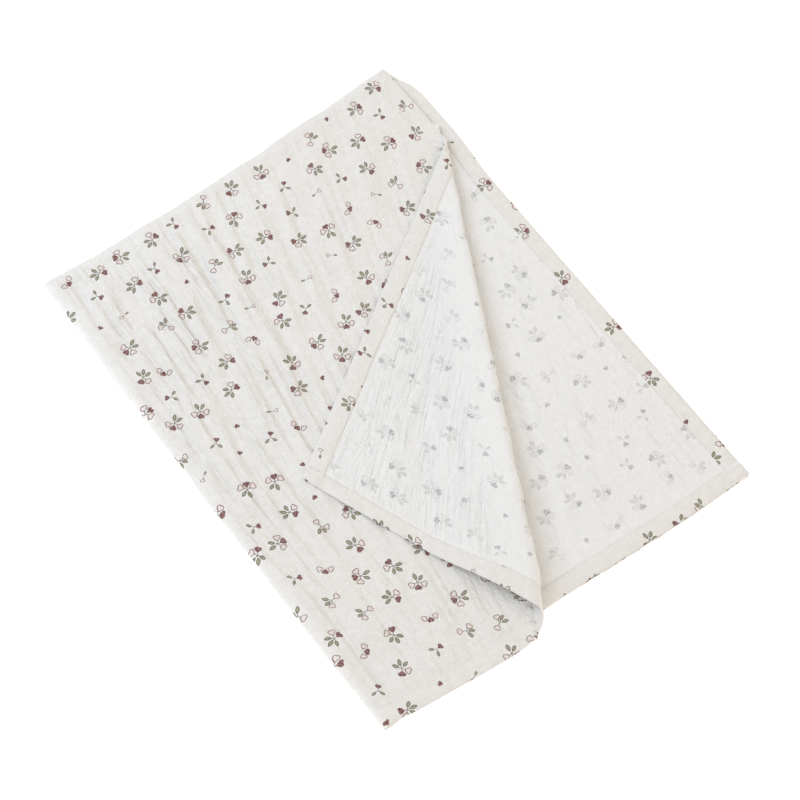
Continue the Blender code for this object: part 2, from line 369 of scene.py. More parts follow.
def turn_hem(place, edge):
    """Where each place comes to once the hem is turned back on the wrong side, and how far it is turned over,
    from 0 on the cloth to 1 on the hem. The hem's own cut edge is pressed down into the cloth."""
    past = np.abs(place) - edge
    half_turn = HEM_RADIUS * math.pi / 2
    turn = np.clip((past + half_turn) / HEM_RADIUS, 0, math.pi)
    distance = np.minimum(np.abs(place), edge - half_turn) + HEM_RADIUS * np.sin(turn)
    over = (1 - np.cos(turn)) / 2 * pressed(past)
    return np.sign(place) * (distance - np.maximum(past - half_turn, 0)), over


def hemmed(place, edge):
    """Where each place on the cut cloth comes to once its hem is turned back flat."""
    return np.sign(place) * (edge - np.abs(np.abs(place) - edge))


def pressed(past):
    """How much of the hem's height is left, so far past its turned edge."""
    return 1 - HEM_PRESSED * ease(past, HEM - HEM_PRESSED_REACH, HEM)


def hem_height(across, over_across, over_along):
    """The hems' height off the cloth. The side hems are turned first, so they lie inside the end hems."""
    side_zone = ease(np.abs(across), FOLDED_WIDTH - HEM, FOLDED_WIDTH - HEM + HEM_CORNER_EASE)
    corner = over_along * (1 + 2 * side_zone * (1 - over_across) + over_across)
    return 2 * HEM_RADIUS * (over_across * (1 - over_along) + corner)


def smooth_noise(u, v, seed, size=64):
    """Soft random hills, one a unit apart, from -1 to 1. A number added to u or v only picks other hills."""
    table = np.random.default_rng(seed).uniform(-1, 1, (size, size))
    column, row = np.floor(u).astype(int), np.floor(v).astype(int)
    part_u, part_v = ease(u - column, 0, 1), ease(v - row, 0, 1)
    near = table[column % size, row % size] * (1 - part_u) + table[(column + 1) % size, row % size] * part_u
    far = table[column % size, (row + 1) % size] * (1 - part_u)
    far = far + table[(column + 1) % size, (row + 1) % size] * part_u
    return near * (1 - part_v) + far * part_v


# The crinkle of the gauze, in three sizes: how far apart the creases are, how long they run, and how deep.
CRINKLES = (
    # apart, run, depth
    (0.0190, 0.220, 0.00160),
    (0.0115, 0.130, 0.00160),
    (0.0072, 0.075, 0.00110),
)
CRINKLE_LEAN = 0.60
CRINKLE_FAN = (0.47, 0.80)
CRINKLE_FAN_COMES = (0.0, 0.03)
# The share of each size's depth that is lost on the turned-back corner.
CRINKLE_LESS_ON_CORNER = (0.3, 0.2, 0.7)

# How strong the crinkle is on each part of the cloth. A pair gives where a change starts and ends, in metres.
CRINKLE_LEVEL = 0.50
CRINKLE_BESIDE_FOLD = 0.70
CRINKLE_BESIDE_FOLD_GOES = (0.03, 0.30)
CRINKLE_LOST_AT_FOOT = (
    # share lost, where it comes back
    (0.40, (0.15, 0.40)),
    (0.20, (0.10, 0.30)),
)
CRINKLE_LOST_UNDER_CORNER = 0.7
CRINKLE_LOST_ON_FOLDS = 0.75
CRINKLE_LOST_ON_FOLDS_GOES = (0.003, 0.022)
CRINKLE_LOST_ON_HEMS = 0.6
CRINKLE_ON_CORNER = 1.15
CRINKLE_UNDERNEATH = 0.45
CORNER_COMES_FLAT = (0.035, 0.075)
CORNER_COVERS = (0.0, 0.02)
ROLL_MIDDLE = 0.012
ROLL_SMOOTH = (0.004, 0.022)
HEM_CALM = (-0.002, 0.006)

# The same for the finest creases, which are too narrow for the mesh and are drawn in the cloth's finish.
DRAWN_LEVEL = 0.55
DRAWN_BESIDE_FOLD = 0.55
DRAWN_BESIDE_FOLD_GOES = (0.05, 0.30)
DRAWN_BESIDE_FOLD_COMES = (0.05, 0.35)
DRAWN_ON_CORNER = 2.2
DRAWN_UNDERNEATH = 0.7
DRAWN_LOST_ON_ROLL = 0.65
DRAWN_LOST_ON_HEMS = 0.75

# The creases that stand out from the rest on the top layer, as seen from above, from the folded corner.
MAIN_CREASES = (
    # head, foot, half width, height
    ((0.102, 0.580), (0.090, 0.470), 0.0032, 0.0013),
    ((0.136, 0.560), (0.118, 0.475), 0.0030, 0.0012),
    ((0.156, 0.546), (0.143, 0.500), 0.0026, 0.0010),
    ((0.171, 0.536), (0.151, 0.450), 0.0030, 0.0013),
    ((0.214, 0.536), (0.174, 0.350), 0.0034, 0.0012),
    ((0.231, 0.470), (0.209, 0.383), 0.0030, 0.0009),
    ((0.069, 0.480), (0.065, 0.405), 0.0034, 0.0014),
    ((0.057, 0.490), (0.050, 0.410), 0.0026, 0.0012),
    ((0.029, 0.520), (0.025, 0.470), 0.0034, -0.0012),
    ((0.031, 0.370), (0.020, 0.300), 0.0036, 0.0013),
    ((0.104, 0.405), (0.089, 0.300), 0.0036, 0.0013),
    ((0.036, 0.420), (0.026, 0.370), 0.0030, 0.0011),
    ((0.039, 0.300), (0.033, 0.255), 0.0030, 0.0010),
    ((0.200, 0.390), (0.185, 0.315), 0.0032, 0.0010),
    ((0.083, 0.300), (0.074, 0.200), 0.0036, 0.0010),
    ((0.130, 0.200), (0.122, 0.090), 0.0036, 0.0008),
)
MAIN_CREASE_COMES = (-0.15, 0.25)
MAIN_CREASE_GOES = (0.75, 1.15)
CRINKLE_WANDER = 0.006
CRINKLE_WANDER_REACH = (0.12, 0.16)
CRINKLE_LIMIT = 0.0023
CRINKLE_WOBBLE = 0.0014
CRINKLE_WOBBLE_REACH = (0.02, 0.030)
CRINKLE_PATCH_REACH = (0.06, 0.10)
CRINKLE_PATCHINESS = 0.75
CRINKLE_CREST = 0.75
SWELL = 0.0011
SWELL_REACH = 0.030
STITCH_INSET = 0.0180
SEAM_GROOVE = 0.00012
SEAM_GROOVE_REACH = 0.0022
SEAM_PUCKER = 0.00030
SEAM_PUCKER_RUN = 0.0065
SEAM_PUCKER_REACH = 0.0080
SEAM_PUCKER_WANDER = 3.0
SEAM_PUCKER_WANDER_RUN = 0.03
SEAM_PUCKER_PATCH = 0.04
SEAM_ENDS = (-0.001, 0.003)


def crinkle_strength(across, along):
    """How strongly each part of the cloth is crinkled: most on the turned-back corner, least underneath."""
    top = (across > 0) & (along > 0)
    x, y = across, FOLDED_LENGTH - np.abs(along)
    _, run, _ = roll_run(x, y)
    level = CRINKLE_LEVEL + CRINKLE_BESIDE_FOLD * (1 - ease(x, *CRINKLE_BESIDE_FOLD_GOES))
    for lost, comes_back in CRINKLE_LOST_AT_FOOT:
        level = level * (1 - lost * (1 - ease(y, *comes_back)))
    level = level * (1 - CRINKLE_LOST_UNDER_CORNER * under_corner(x, y))
    flap = ease(run, *CORNER_COMES_FLAT)
    strength = np.where(top, level + (CRINKLE_ON_CORNER - level) * flap, CRINKLE_UNDERNEATH)
    from_fold = np.minimum(np.abs(across), np.abs(along))
    strength = strength * (1 - CRINKLE_LOST_ON_FOLDS * (1 - ease(from_fold, *CRINKLE_LOST_ON_FOLDS_GOES)))
    return strength * roll_clear(across, along) * (1 - CRINKLE_LOST_ON_HEMS * near_edge(across, along))


def crinkle_drawn(across, along):
    """How strongly the finest creases are drawn: most on the turned-back corner, and least on its roll."""
    top = (across > 0) & (along > 0)
    x, y = np.abs(across), FOLDED_LENGTH - np.abs(along)
    flap = top * ease(roll_run(x, y)[1], *CORNER_COMES_FLAT)
    beside_fold = (1 - ease(x, *DRAWN_BESIDE_FOLD_GOES)) * ease(y, *DRAWN_BESIDE_FOLD_COMES)
    level = np.where(top, DRAWN_LEVEL + DRAWN_BESIDE_FOLD * beside_fold, DRAWN_UNDERNEATH)
    level = level + (DRAWN_ON_CORNER - level) * flap
    level = level * (1 - DRAWN_LOST_ON_ROLL * (1 - roll_clear(across, along)))
    return level * (1 - DRAWN_LOST_ON_HEMS * near_edge(across, along))


def under_corner(x, y):
    """1 where the turned-back corner lies on the layer below, and 0 clear of it."""
    covered = np.ones_like(x)
    for start, end in ((LIFT_FOOT, CORNER_LANDS), (CORNER_LANDS, LIFT_HEAD)):
        way = np.array(end) - np.array(start)
        inside = ((x - start[0]) * way[1] - (y - start[1]) * way[0]) / np.hypot(*way)
        covered = covered * ease(inside, *CORNER_COVERS)
    return covered


def roll_clear(across, along):
    """0 on the roll of the top layer, where the cloth is drawn smooth, and 1 clear of it."""
    top = (across > 0) & (along > 0)
    _, run, _ = roll_run(across, FOLDED_LENGTH - np.abs(along))
    return np.where(top, ease(np.abs(run - ROLL_MIDDLE), *ROLL_SMOOTH), 1.0)


def near_edge(across, along):
    """1 on the hems and 0 clear of them."""
    inset = np.minimum(FOLDED_WIDTH - np.abs(across), FOLDED_LENGTH - np.abs(along))
    return 1 - ease(inset, HEM + HEM_CALM[0], HEM + HEM_CALM[1])


def crease_place(across, along):
    """Where each point is across the run of the creases. They lean, and fan out on the turned-back corner."""
    aside, length = CRINKLE_WANDER_REACH
    wander = CRINKLE_WANDER * smooth_noise(across / aside + 7, along / length + 9, 5)
    aside, length = CRINKLE_WOBBLE_REACH
    wander = wander + CRINKLE_WOBBLE * smooth_noise(across / aside + 3, along / length + 1, 6)
    top = (across > 0) & (along > 0)
    y = FOLDED_LENGTH - np.abs(along)
    leaned = across * (FOLDED_LENGTH + CRINKLE_LEAN) / (y + CRINKLE_LEAN)
    _, run, _ = roll_run(across, y)
    fanned = CRINKLE_FAN[0] - (CRINKLE_FAN[0] - across) * CRINKLE_FAN[1] / (CRINKLE_FAN[1] - y)
    return leaned + (fanned - leaned) * top * ease(run, *CRINKLE_FAN_COMES) + wander


def crinkled(across, along):
    """How far the cloth stands out towards its printed face: long creases that run along the blanket, and
    fan out from beyond the head of the roll on the turned-back corner."""
    top = (across > 0) & (along > 0)
    y = FOLDED_LENGTH - np.abs(along)
    place = crease_place(across, along)
    flap = top * ease(roll_run(across, y)[1], *CRINKLE_FAN_COMES)
    height = np.zeros_like(across)
    for number, (apart, length, depth) in enumerate(CRINKLES):
        hills = smooth_noise(place / apart + 31, along / length + 17, 11 + number)
        aside, length = CRINKLE_PATCH_REACH
        patchy = CRINKLE_PATCHINESS * (1 + smooth_noise(across / aside + number, along / length, 21))
        shown = patchy * (1 - flap * CRINKLE_LESS_ON_CORNER[number])
        height = height + depth * (CRINKLE_CREST - 2 * np.abs(hills)) * shown
    swell = SWELL * smooth_noise(across / SWELL_REACH + 3, along / SWELL_REACH + 5, 31)
    height = height * crinkle_strength(across, along) + swell * (1 - near_edge(across, along))
    height = height + top * main_creases(across, y)
    height = CRINKLE_LIMIT * np.tanh(height / CRINKLE_LIMIT)
    bottom = (across < 0) & (along > 0)
    return np.where(bottom, -np.abs(height), height)


def main_creases(x, y):
    """The height of the listed creases: soft ridges and troughs that die away at their ends."""
    height = np.zeros_like(x)
    for head, foot, half_width, rise in MAIN_CREASES:
        start, way = np.array(head), np.array(foot) - np.array(head)
        length = np.hypot(*way)
        share = ((x - start[0]) * way[0] + (y - start[1]) * way[1]) / length ** 2
        bend = half_width * np.sin(2 * math.pi * share)
        aside = ((x - start[0]) * way[1] - (y - start[1]) * way[0]) / length + bend
        ends = ease(share, *MAIN_CREASE_COMES) * (1 - ease(share, *MAIN_CREASE_GOES))
        height = height + rise * ends * np.exp(-(aside / half_width) ** 2)
    return height


def seam(across, along):
    """The stitched line inside the hems: a groove, with small puckers across it."""
    height = np.zeros_like(across)
    sides = ((across, FOLDED_WIDTH, along, FOLDED_LENGTH), (along, FOLDED_LENGTH, across, FOLDED_WIDTH))
    for place, edge, other, other_edge in sides:
        corner = other_edge - STITCH_INSET
        stitched = 1 - ease(np.abs(other), corner + SEAM_ENDS[0], corner + SEAM_ENDS[1])
        off = np.abs(place) - (edge - STITCH_INSET)
        wander = SEAM_PUCKER_WANDER * smooth_noise(other / SEAM_PUCKER_WANDER_RUN, place * 0, 41)
        ripple = np.sin(2 * math.pi * other / SEAM_PUCKER_RUN + wander)
        ripple = ripple * (1 + smooth_noise(other / SEAM_PUCKER_PATCH + 3, place * 0 + 2, 42)) / 2
        height = height - SEAM_GROOVE * stitched * np.exp(-(off / SEAM_GROOVE_REACH) ** 2)
        height = height + SEAM_PUCKER * stitched * ripple * np.exp(-(off / SEAM_PUCKER_REACH) ** 2)
    return height * roll_clear(across, along)


def blanket_place(across, along):
    """Points of the cut cloth, hems and crinkles included, in the frame."""
    across, over_across = turn_hem(across, FOLDED_WIDTH)
    along, over_along = turn_hem(along, FOLDED_LENGTH)
    out = crinkled(across, along) + seam(across, along) - hem_height(across, over_across, over_along)
    return folded_place(across, along) + printed_face(across, along) * out[..., None] + np.array(CORNER)


def spread(start, end, step):
    return list(np.linspace(start, end, max(round((end - start) / step), 1) + 1))


def cut_lines(edge, step, far_step, fold_radius):
    """Where the grid's lines run over the cut cloth: close at the hem and the fold, and even in between. The
    lines of the hem lie over lines of the cloth below it, so that its cut edge is a clean one."""
    half_turn = HEM_RADIUS * math.pi / 2
    fold = fold_radius * math.pi / 2
    turn = spread(edge - half_turn, edge + half_turn, 2 * half_turn / EDGE_ROWS)[1:]
    on_hem = np.array((half_turn, *HEM_LINES_IN))
    sides = []
    for side_step in (far_step, step):
        cloth = spread(0, fold, fold / 4)[1:] + spread(fold, edge - HEM, side_step)[1:-1]
        sides.append(cloth + list(edge - on_hem[::-1]) + turn + list(edge + on_hem[1:]))
    return np.array([-place for place in reversed(sides[0])] + [0.0] + sides[1])


across_lines = cut_lines(FOLDED_WIDTH, ACROSS_STEP, HIDDEN_STEP, PLY_PITCH)
along_lines = cut_lines(FOLDED_LENGTH, ALONG_STEP_TOP, ALONG_STEP_UNDER, PLY_PITCH / 2)

bm = bmesh.new()
bmesh.ops.create_grid(bm, x_segments=len(across_lines) - 1, y_segments=len(along_lines) - 1, size=0.5)
bmesh.ops.reverse_faces(bm, faces=bm.faces)
grid = np.array([vertex.co for vertex in bm.verts])
across = across_lines[np.rint((grid[:, 0] + 0.5) * (len(across_lines) - 1)).astype(int)]
along = along_lines[np.rint((grid[:, 1] + 0.5) * (len(along_lines) - 1)).astype(int)]
for vertex, place in zip(bm.verts, blanket_place(across, along)):
    vertex.co = place


# The print is drawn in millimetres. Each sprig sits in its own cell and has a filled heart, two outlined
# hearts and three leaves round a middle, and a kind of sprig leaves some of them out.
TO_MILLIMETRES = (1000, 1000, 0)
PRINT_PITCH = 34.0
PRINT_JITTER = 6.5
SPRIG_PARTS = (
    # part, turn in degrees, base from the middle, size
    ("filled heart", 8, 1.8, 5.8),
    ("outlined heart", -60, 3.0, 5.2),
    ("outlined heart", 74, 2.8, 5.2),
    ("leaf", 124, 2.6, 6.2),
    ("leaf", 174, 3.0, 6.6),
    ("leaf", 226, 2.8, 6.0),
)
SPRIG_KINDS = (
    # share of the sprigs, the parts that it has, stems, scale
    (0.27, (1, 1, 0, 1, 1, 1), 1, 1.02),
    (0.20, (1, 1, 1, 0, 1, 1), 1, 1.02),
    (0.12, (0, 1, 1, 1, 1, 0), 1, 0.94),
    (0.13, (1, 0, 0, 1, 0, 1), 1, 0.84),
    (0.09, (1, 1, 1, 0, 0, 0), 0, 0.92),
    (0.06, (0, 1, 0, 1, 0, 0), 1, 0.66),
    (0.13, (1, 0, 0, 0, 0, 0), 0, 0.78),
)
LEAF_SHAPE = 0.47
STEM_WIDTH = 0.30
OUTLINE_WIDTH = 0.80
LEAF_LINE_WIDTH = 0.75
RAGGED_SCALE = 0.9
RAGGED_EDGE = 0.9
NOWHERE = 60.0
SECOND_DRAW = (31.7, 12.3, 5.1)


def maths(tree, operation, *values):
    node = add_node(tree, "ShaderNodeMath", dict(enumerate(values)), operation=operation)
    return node.outputs[0]


def sprig_part_group():
    """Node group: how far a point is outside a heart, a leaf and a stem that point away from the middle."""
    tree = bpy.data.node_groups.new("sprig_part", "ShaderNodeTree")
    for name, kind in (("Point", "Vector"), ("Turn", "Float"), ("Base", "Float"), ("Size", "Float")):
        tree.interface.new_socket(name, in_out="INPUT", socket_type=f"NodeSocket{kind}")
    for name in ("Heart", "Leaf", "Stem"):
        tree.interface.new_socket(name, in_out="OUTPUT", socket_type="NodeSocketFloat")
    given = add_node(tree, "NodeGroupInput").outputs
    turned = add_node(tree, "ShaderNodeVectorRotate", {"Vector": given["Point"], "Angle": given["Turn"]},
                      rotation_type="Z_AXIS", invert=True)
    parts = add_node(tree, "ShaderNodeSeparateXYZ", {0: turned.outputs[0]}).outputs
    out = maths(tree, "SUBTRACT", parts["X"], given["Base"])
    aside = maths(tree, "ABSOLUTE", parts["Y"])
    unit_out = maths(tree, "DIVIDE", out, given["Size"])
    unit_aside = maths(tree, "DIVIDE", aside, given["Size"])
    # A heart is a square stood on its corner, with a round lobe on each of its upper sides.
    slope = maths(tree, "ADD", unit_aside, maths(tree, "ABSOLUTE", maths(tree, "SUBTRACT", unit_out, 0.5)))
    square = maths(tree, "MULTIPLY", maths(tree, "SUBTRACT", slope, 0.5), math.sqrt(0.5))
    lobe = far_from(tree, maths(tree, "SUBTRACT", unit_aside, 0.25), maths(tree, "SUBTRACT", unit_out, 0.75))
    lobe = maths(tree, "SUBTRACT", lobe, math.sqrt(0.125))
    heart = maths(tree, "MULTIPLY", maths(tree, "MINIMUM", square, lobe), given["Size"])
    # A leaf is where two large circles overlap.
    bow = (0.25 + LEAF_SHAPE ** 2 / 4) / LEAF_SHAPE
    from_bow = maths(tree, "ADD", unit_aside, bow - LEAF_SHAPE / 2)
    leaf = far_from(tree, maths(tree, "SUBTRACT", unit_out, 0.5), from_bow)
    leaf = maths(tree, "MULTIPLY", maths(tree, "SUBTRACT", leaf, bow), given["Size"])
    reach = maths(tree, "MINIMUM", maths(tree, "MAXIMUM", parts["X"], 0.0), given["Base"])
    stem = far_from(tree, maths(tree, "SUBTRACT", parts["X"], reach), aside)
    stem = maths(tree, "SUBTRACT", stem, STEM_WIDTH)
    add_node(tree, "NodeGroupOutput", {"Heart": heart, "Leaf": leaf, "Stem": stem})
    return tree


def far_from(tree, x, y):
    """The distance of a point from zero, from its two parts."""
    point = add_node(tree, "ShaderNodeCombineXYZ", {"X": x, "Y": y})
    return add_node(tree, "ShaderNodeVectorMath", {0: point.outputs[0]}, operation="LENGTH").outputs["Value"]


def lookup(tree, value, rows):
    """A stepped ramp that gives each kind of sprig its row of four numbers."""
    ramp = add_node(tree, "ShaderNodeValToRGB", {0: value})
    ramp.color_ramp.interpolation = "CONSTANT"
    start = 0.0
    for number, (kind, row) in enumerate(zip(SPRIG_KINDS, rows)):
        if number < 2:
            element = ramp.color_ramp.elements[number]
            element.position = start
        else:
            element = ramp.color_ramp.elements.new(start)
        element.color = row
        start += kind[0]
    colour = add_node(tree, "ShaderNodeSeparateColor", {0: ramp.outputs["Color"]}).outputs
    return [colour[0], colour[1], colour[2], ramp.outputs["Alpha"]]


def vector_maths(tree, operation, first, second):
    return add_node(tree, "ShaderNodeVectorMath", {0: first, 1: second}, operation=operation).outputs[0]


def scaled(tree, vector, scale):
    inputs = {0: vector, "Scale": scale}
    return add_node(tree, "ShaderNodeVectorMath", inputs, operation="SCALE").outputs[0]


def flat_millimetres(tree):
    """The place on the flat cloth, in millimetres."""
    flat = add_node(tree, "ShaderNodeUVMap", uv_map="flat_cloth")
    return vector_maths(tree, "MULTIPLY", flat.outputs[0], TO_MILLIMETRES)


def sprig_cell(tree):
    """The cell that a point is in, and how far the point is from the cell's middle. Every other row of cells
    is set half a cell along, and the point is moved a little, so that the print has ragged edges."""
    point = flat_millimetres(tree)
    ragged = add_node(tree, "ShaderNodeTexNoise", {"Vector": point, "Scale": RAGGED_SCALE, "Detail": 1.0})
    ragged = vector_maths(tree, "SUBTRACT", ragged.outputs["Color"], (0.5, 0.5, 0.5))
    point = vector_maths(tree, "ADD", point, scaled(tree, ragged, RAGGED_EDGE))
    split = add_node(tree, "ShaderNodeSeparateXYZ", {0: point}).outputs
    row = maths(tree, "FLOOR", maths(tree, "DIVIDE", split["Y"], PRINT_PITCH))
    # An even number of rows is added, because the remainder of a row below zero would be a negative one.
    odd_row = maths(tree, "MODULO", maths(tree, "ADD", row, 100.0), 2.0)
    place = maths(tree, "DIVIDE", split["X"], PRINT_PITCH)
    place = maths(tree, "ADD", place, maths(tree, "MULTIPLY", odd_row, 0.5))
    column = maths(tree, "FLOOR", place)
    inside_x = maths(tree, "SUBTRACT", place, maths(tree, "ADD", column, 0.5))
    inside_x = maths(tree, "MULTIPLY", inside_x, PRINT_PITCH)
    middle_y = maths(tree, "MULTIPLY", maths(tree, "ADD", row, 0.5), PRINT_PITCH)
    inside_y = maths(tree, "SUBTRACT", split["Y"], middle_y)
    cell = add_node(tree, "ShaderNodeCombineXYZ", {"X": column, "Y": row})
    return cell.outputs[0], (inside_x, inside_y)


def sprig_place(tree):
    """The point as its own sprig has it, and the number from 0 to 1 that picks the kind of sprig."""
    cell, inside = sprig_cell(tree)
    chance = add_node(tree, "ShaderNodeTexWhiteNoise", {"Vector": cell}, noise_dimensions="3D")
    draw = add_node(tree, "ShaderNodeSeparateColor", {0: chance.outputs["Color"]}).outputs
    local = []
    for axis in (0, 1):
        shift = maths(tree, "MULTIPLY", maths(tree, "SUBTRACT", draw[axis], 0.5), 2 * PRINT_JITTER)
        local.append(maths(tree, "SUBTRACT", inside[axis], shift))
    point = add_node(tree, "ShaderNodeCombineXYZ", {"X": local[0], "Y": local[1]}).outputs[0]
    turn = maths(tree, "MULTIPLY", draw[2], 2 * math.pi)
    point = add_node(tree, "ShaderNodeVectorRotate", {"Vector": point, "Angle": turn}, rotation_type="Z_AXIS")
    other = vector_maths(tree, "ADD", cell, SECOND_DRAW)
    kind = add_node(tree, "ShaderNodeTexWhiteNoise", {"Vector": other}, noise_dimensions="3D")
    return point.outputs[0], kind.outputs[0]


def sprig_distances(tree):
    """How far a point is outside the nearest filled heart, outlined heart, leaf and stem of its own sprig."""
    part_group = sprig_part_group()
    point, kind = sprig_place(tree)
    *shown_hearts, scale = lookup(tree, kind, [(*row[1][:3], row[3]) for row in SPRIG_KINDS])
    *shown_leaves, stems = lookup(tree, kind, [(*row[1][3:], row[2]) for row in SPRIG_KINDS])
    point = scaled(tree, point, maths(tree, "DIVIDE", 1.0, scale))
    no_stem = maths(tree, "MULTIPLY", maths(tree, "SUBTRACT", 1.0, stems), NOWHERE)
    shapes = {"filled heart": [], "outlined heart": [], "leaf": [], "stem": []}
    for (part, turn, base, size), shown in zip(SPRIG_PARTS, shown_hearts + shown_leaves):
        away = maths(tree, "MULTIPLY", maths(tree, "SUBTRACT", 1.0, shown), NOWHERE)
        group = add_node(tree, "ShaderNodeGroup", node_tree=part_group)
        tree.links.new(point, group.inputs["Point"])
        for name, value in (("Turn", math.radians(turn)), ("Base", base), ("Size", size)):
            group.inputs[name].default_value = value
        shape = group.outputs["Leaf" if part == "leaf" else "Heart"]
        shapes[part].append(maths(tree, "ADD", shape, away))
        stem = maths(tree, "ADD", group.outputs["Stem"], away)
        shapes["stem"].append(maths(tree, "ADD", stem, no_stem))
    nearest = {}
    for part, distances in shapes.items():
        nearest[part] = distances[0]
        for distance in distances[1:]:
            nearest[part] = maths(tree, "MINIMUM", nearest[part], distance)
    return nearest


def line_round(tree, distance, width):
    """A line of that width along the edge of a shape."""
    return maths(tree, "SUBTRACT", maths(tree, "ABSOLUTE", distance), width / 2)


def sprig_print_group():
    """Node group: the scattered sprigs, as how much of each ink covers a point of the flat cloth."""
    tree = bpy.data.node_groups.new("sprig_print", "ShaderNodeTree")
    tree.interface.new_socket("Softness", in_out="INPUT", socket_type="NodeSocketFloat")
    for name in ("Stem", "Leaf", "Pink", "Line", "Red"):
        tree.interface.new_socket(name, in_out="OUTPUT", socket_type="NodeSocketFloat")
    softness = add_node(tree, "NodeGroupInput").outputs["Softness"]
    nearest = sprig_distances(tree)
    leaf_line = line_round(tree, nearest["leaf"], LEAF_LINE_WIDTH)
    inks = {"Leaf": nearest["leaf"], "Stem": maths(tree, "MINIMUM", nearest["stem"], leaf_line),
            "Pink": nearest["outlined heart"], "Red": nearest["filled heart"],
            "Line": line_round(tree, nearest["outlined heart"], OUTLINE_WIDTH)}
    covers = {}
    for ink, distance in inks.items():
        low_edge = maths(tree, "MULTIPLY", softness, -1.0)
        edge = {"Value": distance, "From Min": low_edge, "From Max": softness, "To Min": 1.0, "To Max": 0.0}
        faded = add_node(tree, "ShaderNodeMapRange", edge, interpolation_type="SMOOTHSTEP")
        covers[ink] = faded.outputs[0]
    add_node(tree, "NodeGroupOutput", covers)
    return tree


# Double gauze, loosely woven of fine soft cotton: matt, a little uneven, with a faint bloom of loose fibre.
PRINT_GROUP = sprig_print_group()
INKS = (
    # ink, printed colour, colour through the cloth, strength, strength through the cloth
    ("Leaf", "8D8860", "B0B1AE", 0.88, 0.50),
    ("Stem", "4A4530", "9FA09E", 0.95, 0.45),
    ("Pink", "F0DEDC", "D6D5D8", 0.50, 0.20),
    ("Line", "763C3A", "A3A1A8", 0.97, 0.42),
    ("Red", "6E2521", "8F8D94", 0.98, 0.80),
)
WORN_FROM = 0.72
WORN_FROM_THROUGH = 0.15
WEAVE_PITCH = 1.15
WEAVE_HEIGHT = 0.10
CREPE_HEIGHT = 1.8
FINE_CREASE_HEIGHT = 2.2
FINE_CREASE_STRETCH = (1000, 85, 0)
CREASE_DEEPENED = 950.0
RELIEF = 0.0015


def mixed(tree, factor, first, second):
    inputs = {"Factor": factor, 6: first, 7: second}
    return add_node(tree, "ShaderNodeMix", inputs, data_type="RGBA").outputs[2]


def gauze_colour(tree, point, ground, softness, through):
    """The ground and the inks. The print wears thin in places, most of all where it shows through."""
    # Threads lie closer in some places than in others, which makes the cloth a little darker or lighter.
    mottle = add_node(tree, "ShaderNodeTexNoise", {
        "Vector": point, "Scale": 0.10, "Detail": 6.0, "Roughness": 0.72})
    mottle = add_node(tree, "ShaderNodeMapRange", {
        "Value": mottle.outputs[0], "From Min": 0.3, "From Max": 0.7})
    colour = mixed(tree, mottle.outputs[0], linear(ground[0]), linear(ground[1]))
    inks = add_node(tree, "ShaderNodeGroup", node_tree=PRINT_GROUP)
    inks.inputs["Softness"].default_value = softness
    worn = add_node(tree, "ShaderNodeTexNoise", {"Vector": point, "Scale": 0.7, "Detail": 2.0})
    worn = add_node(tree, "ShaderNodeMapRange", {
        "Value": worn.outputs[0], "From Min": 0.38, "From Max": 0.60,
        "To Min": WORN_FROM_THROUGH if through else WORN_FROM, "To Max": 1.0})
    for ink, printed, behind, strength, strength_behind in INKS:
        cover = maths(tree, "MULTIPLY", inks.outputs[ink], strength_behind if through else strength)
        cover = maths(tree, "MULTIPLY", cover, worn.outputs[0])
        colour = mixed(tree, cover, colour, linear(behind if through else printed))
    return colour


def gauze_relief(tree, point):
    """The height of the weave, the crepe and the creases, in the bump's own units."""
    # Real threads are about 0.6 mm apart. They are drawn about twice as coarse, so that they just show.
    turns = 2 * math.pi / WEAVE_PITCH
    split = add_node(tree, "ShaderNodeSeparateXYZ", {0: point}).outputs
    warp = maths(tree, "SINE", maths(tree, "MULTIPLY", split["X"], turns))
    weft = maths(tree, "SINE", maths(tree, "MULTIPLY", split["Y"], turns))
    weave = maths(tree, "MULTIPLY", maths(tree, "MULTIPLY", warp, weft), WEAVE_HEIGHT)
    # The finest creases are too narrow for the mesh, so they are drawn along the run of the others.
    drawn = add_node(tree, "ShaderNodeUVMap", uv_map="crease_height")
    drawn = add_node(tree, "ShaderNodeSeparateXYZ", {0: drawn.outputs[0]}).outputs
    run = add_node(tree, "ShaderNodeUVMap", uv_map="crease_run")
    run = vector_maths(tree, "MULTIPLY", run.outputs[0], FINE_CREASE_STRETCH)
    fine = add_node(tree, "ShaderNodeTexNoise", {
        "Vector": run, "Scale": 0.155, "Detail": 3.0, "Roughness": 0.55, "Distortion": 0.5})
    fine = maths(tree, "ABSOLUTE", maths(tree, "SUBTRACT", fine.outputs[0], 0.5))
    fine = maths(tree, "MULTIPLY", maths(tree, "MULTIPLY", fine, -FINE_CREASE_HEIGHT), drawn["Y"])
    crepe = add_node(tree, "ShaderNodeTexNoise", {
        "Vector": point, "Scale": 0.20, "Detail": 4.0, "Roughness": 0.65})
    height = maths(tree, "ADD", weave, fine)
    height = maths(tree, "ADD", height, maths(tree, "MULTIPLY", crepe.outputs[0], CREPE_HEIGHT))
    # The mesh's creases are drawn deeper, because layers that lie this close have no room for more.
    return maths(tree, "ADD", height, maths(tree, "MULTIPLY", drawn["X"], CREASE_DEEPENED))


